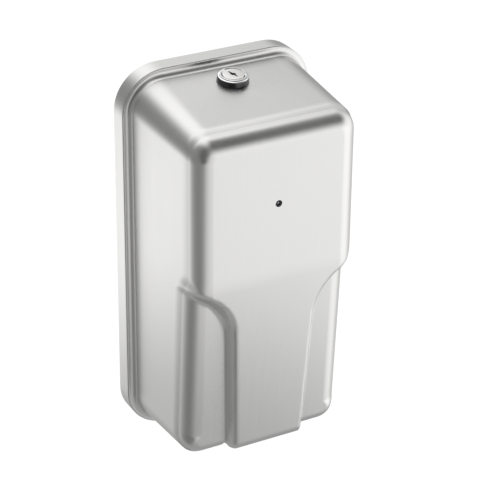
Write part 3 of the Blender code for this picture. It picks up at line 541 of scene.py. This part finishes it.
class Nodes(Tree):
    """A Principled material and the nodes that feed its shader."""

    def __init__(self, name, colour, roughness, metallic=0.0):
        self.material = bpy.data.materials.new(name)
        self.material.use_nodes = True
        super().__init__(self.material.node_tree)
        self.shader = self.tree.nodes["Principled BSDF"]
        self.shader.inputs["Base Color"].default_value = (*colour, 1)
        self.shader.inputs["Roughness"].default_value = roughness
        self.shader.inputs["Metallic"].default_value = metallic
        self.place = self.add("ShaderNodeTexCoord").outputs["Object"]

    def scaled(self, scale):
        mapping = self.add("ShaderNodeMapping", Scale=scale)
        self.link(self.place, mapping.inputs["Vector"])
        return mapping.outputs["Vector"]

    def noise(self, scale, detail=3.0):
        node = self.add("ShaderNodeTexNoise", Scale=1.0, Detail=detail, Roughness=0.55)
        self.link(self.scaled(scale), node.inputs["Vector"])
        return node.outputs["Fac"]

    def blend(self, factor, first, second):
        node = self.add("ShaderNodeMix", data_type="RGBA")
        self.link(factor, node.inputs["Factor"])
        node.inputs["A"].default_value = (*first, 1)
        node.inputs["B"].default_value = (*second, 1)
        return node.outputs["Result"]

    def bump(self, height, strength, distance):
        node = self.add("ShaderNodeBump", Strength=strength, Distance=distance)
        self.link(height, node.inputs["Height"])
        self.link(node.outputs["Normal"], self.shader.inputs["Normal"])

    def colour(self, source):
        self.link(source, self.shader.inputs["Base Color"])

    def roughness(self, source):
        self.link(source, self.shader.inputs["Roughness"])


def shaded(colour, gain):
    return tuple(min(channel * gain, 1.0) for channel in colour)


def brushed_steel(name, colour, roughness, along, streak=0.05, anisotropy=0.0):
    """Brushed metal: grain along one axis, drawn out from noise, over slow blotches of handling."""
    look = Nodes(name, colour, roughness, 1.0)
    fine = [2600.0] * 3
    broad = [420.0] * 3
    fine["XYZ".index(along)] = 16.0
    broad["XYZ".index(along)] = 5.0
    grain = look.noise(fine, 2.0)
    bands = look.noise(broad, 2.0)
    blotch = look.noise((9.0, 9.0, 7.0), 3.0)
    tone = look.maths("ADD", look.maths("MULTIPLY", grain, 0.55), look.maths("MULTIPLY", bands, 0.45))
    dark = shaded(colour, 1 - streak)
    light = shaded(colour, 1 + streak)
    look.colour(look.blend(look.ranged(tone, 0.0, 1.0, 0.3, 0.7), dark, light))
    fine_rough = look.ranged(tone, -0.035, 0.035, 0.3, 0.7)
    slow_rough = look.ranged(blotch, -0.02, 0.02, 0.3, 0.7)
    rough = look.maths("ADD", fine_rough, slow_rough)
    look.roughness(look.maths("ADD", rough, roughness))
    look.bump(tone, 0.006, 0.00003)
    if anisotropy:
        look.shader.inputs["Anisotropic"].default_value = anisotropy
        tangent = look.add("ShaderNodeTangent", direction_type="RADIAL", axis="Z")
        look.link(tangent.outputs["Tangent"], look.shader.inputs["Tangent"])
    return look.material


def plated(name, colour, roughness):
    """Plated or polished metal with faint handling marks."""
    look = Nodes(name, colour, roughness, 1.0)
    marks = look.noise((300.0, 300.0, 300.0), 4.0)
    blotch = look.noise((60.0, 60.0, 60.0), 2.0)
    wear = look.maths("MULTIPLY", marks, blotch)
    look.roughness(look.ranged(wear, roughness * 0.8, roughness * 1.5, 0.1, 0.5))
    look.colour(look.blend(blotch, shaded(colour, 0.95), shaded(colour, 1.04)))
    look.bump(marks, 0.04, 0.00002)
    return look.material


def plastic(name, colour, roughness, grain=1400.0, strength=0.12, transmission=0.0):
    """Moulded plastic with a fine spark-eroded grain and slight unevenness of tone."""
    look = Nodes(name, colour, roughness)
    texture = look.noise((grain, grain, grain), 2.0)
    cloud = look.noise((40.0, 40.0, 40.0), 3.0)
    look.colour(look.blend(cloud, shaded(colour, 0.92), shaded(colour, 1.06)))
    look.roughness(look.ranged(texture, roughness - 0.06, roughness + 0.06, 0.3, 0.7))
    look.bump(texture, strength, 0.00003)
    look.shader.inputs["Transmission Weight"].default_value = transmission
    return look.material


def circuit_board(name):
    """Solder mask over copper tracks, as a raised brick pattern."""
    look = Nodes(name, (0.02, 0.14, 0.06), 0.35)
    tracks = look.add("ShaderNodeTexBrick", Scale=1.0)
    tracks.inputs["Color1"].default_value = (0.02, 0.14, 0.06, 1)
    tracks.inputs["Color2"].default_value = (0.03, 0.20, 0.08, 1)
    tracks.inputs["Mortar"].default_value = (0.06, 0.26, 0.12, 1)
    tracks.inputs["Mortar Size"].default_value = 0.05
    look.link(look.scaled((300.0, 300.0, 300.0)), tracks.inputs["Vector"])
    look.colour(tracks.outputs["Color"])
    look.bump(tracks.outputs["Fac"], 0.2, 0.00005)
    return look.material


COVER_STEEL = brushed_steel("cover_brushed_steel", (0.655, 0.652, 0.646), 0.31, "Z", 0.02, 0.4)
PLATE_STEEL = brushed_steel("plate_brushed_steel", (0.60, 0.60, 0.60), 0.36, "X", 0.05)
LOCK_CHROME = plated("lock_chrome", (0.78, 0.78, 0.79), 0.10)
# Near-black copy of the lock chrome: a painted dark reflection on the bezel's sides
LOCK_PAINTED_DARK_REFLECTION = plated("lock_chrome_painted_dark_reflection", (0.10, 0.10, 0.105), 0.12)
KEY_FACE = plated("lock_face_nickel", (0.80, 0.79, 0.77), 0.20)
ZINC = plated("zinc_plate", (0.60, 0.61, 0.63), 0.32)
MOTOR_CAN = brushed_steel("motor_can_steel", (0.5, 0.5, 0.52), 0.34, "Y", 0.06)
TANK = plastic("tank_polyethylene", (0.80, 0.84, 0.85), 0.34, 900.0, 0.08, 0.55)
DARK = plastic("dark_moulding", (0.030, 0.031, 0.034), 0.48)
GREY = plastic("grey_moulding", (0.30, 0.31, 0.32), 0.5)
WHITE = plastic("white_acetal", (0.78, 0.78, 0.74), 0.38, 700.0, 0.05)
LAMP = plastic("lamp_lens", (0.16, 0.17, 0.19), 0.12, 500.0, 0.02, 0.4)
TUBE = plastic("silicone_tube", (0.78, 0.78, 0.74), 0.42, 600.0, 0.05, 0.35)
CELL = plastic("cell_jacket", (0.045, 0.055, 0.075), 0.3, 500.0, 0.03)
BOARD = circuit_board("circuit_board")


# ---------------------------------------------------------------- pieces


def make_cover():
    """The pressed steel cover: a thin sheet with holes for the lock, the lamp, the outlet and the hinge."""
    points, faces = cover_sheet()
    cover = new_object("cover_pressing", points, faces, COVER_STEEL)
    sheet = cover.modifiers.new("sheet", "SOLIDIFY")
    sheet.thickness = SHEET
    sheet.offset = -1
    sheet.use_even_offset = True
    lock_places = [(0, -14 * MM), (LOCK_HOLE, -14 * MM), (LOCK_HOLE, 8 * MM), (0, 8 * MM)]
    lock_hole = turned("lock_hole", lock_places, LOCK_FOOT, LOCK_AXIS, COVER_STEEL, 64)
    lamp_places = [(0, -3 * MM), (INDICATOR_HOLE, -3 * MM), (INDICATOR_HOLE, 4 * MM), (0, 4 * MM)]
    lamp_foot = (0, -DEPTH, INDICATOR_Z)
    lamp_hole = turned("lamp_hole", lamp_places, lamp_foot, Y_AXIS, COVER_STEEL, 48)
    outlet_places = rounded_rectangle(OUTLET_LO, OUTLET_HI, OUTLET_CORNER)
    below = (0, 0, -HALF_HEIGHT + 2 * MM)
    outlet = prism("outlet_hole", outlet_places, below, Z_AXIS * 18 * MM, X_AXIS, Y_AXIS, COVER_STEEL)
    front, back = NOTCH_FRONT, 1.0 * MM
    notch_places = [(-NOTCH_HALF, front), (NOTCH_HALF, front), (NOTCH_HALF, back), (-NOTCH_HALF, back)]
    below = (0, 0, -HALF_HEIGHT - 2 * MM)
    notch = prism("hinge_notch", notch_places, below, Z_AXIS * 6 * MM, X_AXIS, Y_AXIS, COVER_STEEL)
    cut(cover, [lock_hole, lamp_hole, outlet, notch])
    shade(cover.data, COVER_SHARP_ANGLE)
    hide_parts("cover")
    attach(cover, "cover")


def arc(centre_radius, centre_height, radius, start, end, steps):
    """Points of an arc in a turned profile, with angles in degrees from the outward direction."""
    angles = np.radians(np.linspace(start, end, steps + 1))
    return [(centre_radius + radius * math.cos(a), centre_height + radius * math.sin(a)) for a in angles]


def make_bezel():
    """The cam lock's housing: a bezel on its threaded barrel, whose sideways chrome faces are painted near
    black as a painted dark reflection.
    """
    bezel = [(LOCK_BORE, -BARREL_LENGTH), (BARREL_RADIUS, -BARREL_LENGTH)]
    for k in range(THREAD_TURNS):
        height = k * THREAD_PITCH - BARREL_LENGTH + 0.4 * MM
        bezel += [(THREAD_CREST, height), (THREAD_ROOT, height + THREAD_PITCH / 2)]
    bezel += [(THREAD_CREST, 0.3 * MM), (11.8 * MM, 0.3 * MM)]
    bezel += arc(11.75 * MM, 0.6 * MM, 0.3 * MM, -60, 5, 4)
    bezel += arc(10.6 * MM, 3.7 * MM, 1.0 * MM, 8, 75, 8)
    bezel += [(10.3 * MM, 4.9 * MM)]
    bezel += arc(9.8 * MM, 5.0 * MM, 0.6 * MM, 50, 92, 4)
    bezel += [(9.1 * MM, 5.6 * MM), (8.7 * MM, 5.3 * MM), (8.5 * MM, 4.8 * MM), (LOCK_BORE, 4.6 * MM)]
    housing = turned("lock_bezel", bezel, LOCK_FOOT, LOCK_AXIS, LOCK_CHROME, 96)
    housing.data.materials.append(LOCK_PAINTED_DARK_REFLECTION)
    # Sideways faces above the cover take the near-black chrome, a painted dark reflection
    for face in housing.data.polygons:
        out = face.center - LOCK_FOOT
        above = out.dot(LOCK_AXIS) > 0
        painted_dark_side = face.normal.dot(LOCK_AXIS) < BEZEL_PAINTED_SHADE_LEAN
        if above and painted_dark_side and out.length > BEZEL_PAINTED_SHADE_RADIUS:
            face.material_index = 1
    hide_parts("lock_housing")
    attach(housing, "cover")


def make_plug():
    """The cam lock's plug, with a rounded rim and a keyway."""
    rim = 0.5 * MM
    plug = [(0, -18 * MM), (PLUG_RADIUS, -18 * MM), (PLUG_RADIUS, 4.6 * MM)]
    plug += arc(PLUG_RADIUS - rim, PLUG_FACE - rim, rim, 0, 90, 4)
    plug += [(0, PLUG_FACE)]
    face = turned("lock_plug_face", plug, LOCK_FOOT, LOCK_AXIS, KEY_FACE, 96)
    key_along = (LOCK_BACK * math.cos(KEY_TURN) - X_AXIS * math.sin(KEY_TURN)).normalized()
    key_across = LOCK_AXIS.cross(key_along)
    keyway = [
        (-0.2, -4.6), (0.9, -4.6), (0.9, -1.6), (1.9, -0.8), (1.9, 1.4), (0.9, 2.2),
        (0.9, 4.6), (-0.5, 4.6), (-0.5, 1.2), (-1.6, 0.4), (-1.6, -1.6), (-0.2, -2.2),
    ]
    places = [(across * MM, along * MM) for across, along in keyway]
    start = LOCK_FOOT - LOCK_AXIS * 6 * MM
    depth = LOCK_AXIS * 16 * MM
    cut(face, [prism("keyway", places, start, depth, key_across, key_along, KEY_FACE)])
    shade(face.data)
    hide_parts("lock_plug")
    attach(face, "lock")


def make_indicator():
    """The lamp's holder, with a rounded lip in the cover's hole, and the domed lamp inside it."""
    front = Vector((0, -DEPTH, INDICATOR_Z))
    lip = [(HOLDER_BORE, HOLDER_BACK), (HOLDER_BORE, 0.9 * MM)]
    lip += arc(2.1 * MM, 0.5 * MM, 0.35 * MM, 180, 330, 8)
    lip += [(2.4 * MM, 1.3 * MM), (HOLDER_RADIUS, 1.3 * MM), (HOLDER_RADIUS, HOLDER_BACK)]
    holder = turned("lamp_holder", lip, front, Y_AXIS, DARK, 64)
    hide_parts("indicator_holder")
    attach(holder, "cover")
    dome = [(0, LAMP_BACK), (LAMP_RADIUS, LAMP_BACK), (LAMP_RADIUS, DOME_FOOT)]
    for angle in np.radians(np.linspace(10, 80, 8)):
        dome.append((LAMP_RADIUS * math.cos(angle), DOME_FOOT - DOME_RISE * math.sin(angle)))
    dome.append((0, DOME_FOOT - DOME_RISE))
    lamp = turned("lamp_dome", dome, front, Y_AXIS, LAMP, 48)
    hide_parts("indicator_lamp")
    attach(lamp, "cover")


def finish_inner_pieces():
    """Materials and softened edges for the CAD nodes that stay."""
    # Each node's material, and the width of its bevel in mm
    looks = {
        "back_plate": (PLATE_STEEL, 0.3),
        "hinge_leaf_fixed": (ZINC, 0.2), "hinge_leaf_cover": (ZINC, 0.2), "hinge_pin": (ZINC, 0.15),
        "strike_bracket": (ZINC, 0.25),
        "lock_nut": (ZINC, 0.3), "lock_cam": (ZINC, 0.3), "lock_cam_screw": (ZINC, 0.2),
        "chassis": (GREY, 0.5), "reservoir": (TANK, 0.6),
        "reservoir_lid": (DARK, 0.4), "lid_pin": (ZINC, 0.1),
        "battery_box": (DARK, 0.4), "battery_door": (DARK, 0.4),
        "battery_contact_left": (ZINC, 0.1), "battery_contact_right": (ZINC, 0.1),
        "control_board": (BOARD, 0.1), "board_spacer_1": (GREY, 0.1), "board_spacer_2": (GREY, 0.1),
        "power_switch_body": (DARK, 0.25), "power_switch_slider": (WHITE, 0.2),
        "sensor_housing": (DARK, 0.4),
        "infrared_emitter": (LAMP, 0.1), "infrared_receiver": (DARK, 0.1),
        "motor": (MOTOR_CAN, 0.3), "motor_shaft": (ZINC, 0.1),
        "motor_pinion": (WHITE, 0.08), "reduction_gear": (WHITE, 0.08),
        "gear_plate_rear": (GREY, 0.15), "gear_plate_front": (GREY, 0.3),
        "pump_shaft": (ZINC, 0.1), "pump_body": (GREY, 0.4), "pump_cover": (GREY, 0.4),
        "pump_drive_gear": (WHITE, 0.08), "pump_idler_gear": (WHITE, 0.08), "idler_pin": (ZINC, 0.1),
        "inlet_tube": (TUBE, 0.1), "outlet_tube": (TUBE, 0.1), "nozzle": (DARK, 0.2),
    }
    for number in range(1, 5):
        looks[f"battery_{number}"] = (CELL, 0.3)
        looks[f"chassis_screw_{number}"] = (ZINC, 0.2)
        looks[f"pump_screw_{number}"] = (ZINC, 0.15)
    for name, (look, width) in looks.items():
        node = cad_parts[name]
        node.data.materials.clear()
        node.data.materials.append(look)
        bevelled(name, width * MM)


# ---------------------------------------------------------------- studio


def make_floor():
    """A plain pale floor well below the dispenser."""
    look = Nodes("floor_paper", (0.93, 0.93, 0.93), 0.9)
    tone = look.noise((2.0, 2.0, 2.0), 2.0)
    look.colour(look.blend(tone, (0.925, 0.925, 0.925), (0.935, 0.935, 0.935)))
    x = y = FLOOR_HALF
    points = [(-x, -y, FLOOR_LEVEL), (x, -y, FLOOR_LEVEL), (x, y, FLOOR_LEVEL), (-x, y, FLOOR_LEVEL)]
    floor = new_object("studio_floor", points, [(0, 1, 2, 3)], look.material)
    floor.visible_glossy = False


def make_world():
    """A light tent with soft darker patches for reflections, and plain white light for all else."""
    world = bpy.data.worlds.new("light_tent")
    bpy.context.scene.world = world
    world.use_nodes = True
    look = Tree(world.node_tree)
    background = look.tree.nodes["Background"]
    background.inputs["Color"].default_value = (1.0, 1.0, 0.998, 1)
    direction = look.add("ShaderNodeTexCoord").outputs["Generated"]

    def along(towards):
        node = look.add("ShaderNodeVectorMath", operation="DOT_PRODUCT")
        node.inputs[1].default_value = Vector(towards).normalized()
        look.link(direction, node.inputs[0])
        return node.outputs["Value"]

    start, end, low, high = GROUND_FADE
    light = look.ranged(along((0, 0, -1)), low, high, start, end, soft=True)
    for towards, start, end, gain in TENT_PATCHES:
        light = look.maths("MULTIPLY", light, look.ranged(along(towards), 1.0, gain, start, end, soft=True))
    glossy = look.add("ShaderNodeLightPath").outputs["Is Glossy Ray"]
    reflected = look.maths("MULTIPLY", glossy, look.maths("MULTIPLY", light, TENT_LIGHT))
    plain = look.maths("MULTIPLY", look.maths("SUBTRACT", 1.0, glossy), PLAIN_LIGHT)
    look.link(look.maths("ADD", reflected, plain), background.inputs["Strength"])


def shade_card(name, place, facing, half, soft, hiding, brightness):
    """A soft-edged grey card that only reflections see."""
    look = Nodes(name, (0, 0, 0), 1.0)
    parts = look.add("ShaderNodeSeparateXYZ")
    look.link(look.place, parts.inputs["Vector"])
    inside = []
    for axis, reach in zip("XY", half):
        away = look.maths("ABSOLUTE", parts.outputs[axis], 0.0)
        inside.append(look.ranged(away, 1.0, 0.0, reach - soft, reach, soft=True))
    clear = look.add("ShaderNodeBsdfTransparent")
    glow = look.add("ShaderNodeEmission", Strength=brightness)
    mixed = look.add("ShaderNodeMixShader")
    look.link(look.maths("MULTIPLY", look.maths("MULTIPLY", *inside), hiding), mixed.inputs["Fac"])
    look.link(clear.outputs["BSDF"], mixed.inputs[1])
    look.link(glow.outputs["Emission"], mixed.inputs[2])
    look.link(mixed.outputs["Shader"], look.tree.nodes["Material Output"].inputs["Surface"])
    x, y = half
    points = [(-x, -y, 0), (x, -y, 0), (x, y, 0), (-x, y, 0)]
    card = new_object(name, points, [(0, 1, 2, 3)], look.material)
    card.location = place
    card.rotation_euler = Vector(facing).to_track_quat("Z", "Y").to_euler()
    card.visible_camera = False
    card.visible_diffuse = False
    card.visible_shadow = False


def make_camera():
    """The camera at its azimuth, elevation and roll round the target."""
    back = Vector((
        math.sin(CAMERA_AZIMUTH) * math.cos(CAMERA_ELEVATION),
        -math.cos(CAMERA_AZIMUTH) * math.cos(CAMERA_ELEVATION),
        math.sin(CAMERA_ELEVATION),
    ))
    right = (-back).cross(Z_AXIS).normalized()
    up = right.cross(-back)
    turned_right = right * math.cos(CAMERA_ROLL) + up * math.sin(CAMERA_ROLL)
    turned_up = up * math.cos(CAMERA_ROLL) - right * math.sin(CAMERA_ROLL)
    lens = bpy.data.cameras.new("studio_camera")
    lens.lens = CAMERA_LENS
    lens.sensor_width = SENSOR_WIDTH
    lens.clip_end = 50.0
    camera = bpy.data.objects.new("studio_camera", lens)
    turn = Matrix((turned_right, turned_up, back)).transposed().to_4x4()
    camera.matrix_world = Matrix.Translation(CAMERA_TARGET + back * CAMERA_DISTANCE) @ turn
    bpy.context.scene.collection.objects.link(camera)
    bpy.context.scene.camera = camera


def main():
    make_camera()
    make_cover()
    make_bezel()
    make_plug()
    make_indicator()
    finish_inner_pieces()
    make_floor()
    make_world()
    for card in SHADE_CARDS:
        shade_card(*card)
    bpy.context.scene.view_settings.view_transform = "Standard"
    bpy.context.scene.view_settings.look = "None"


main()
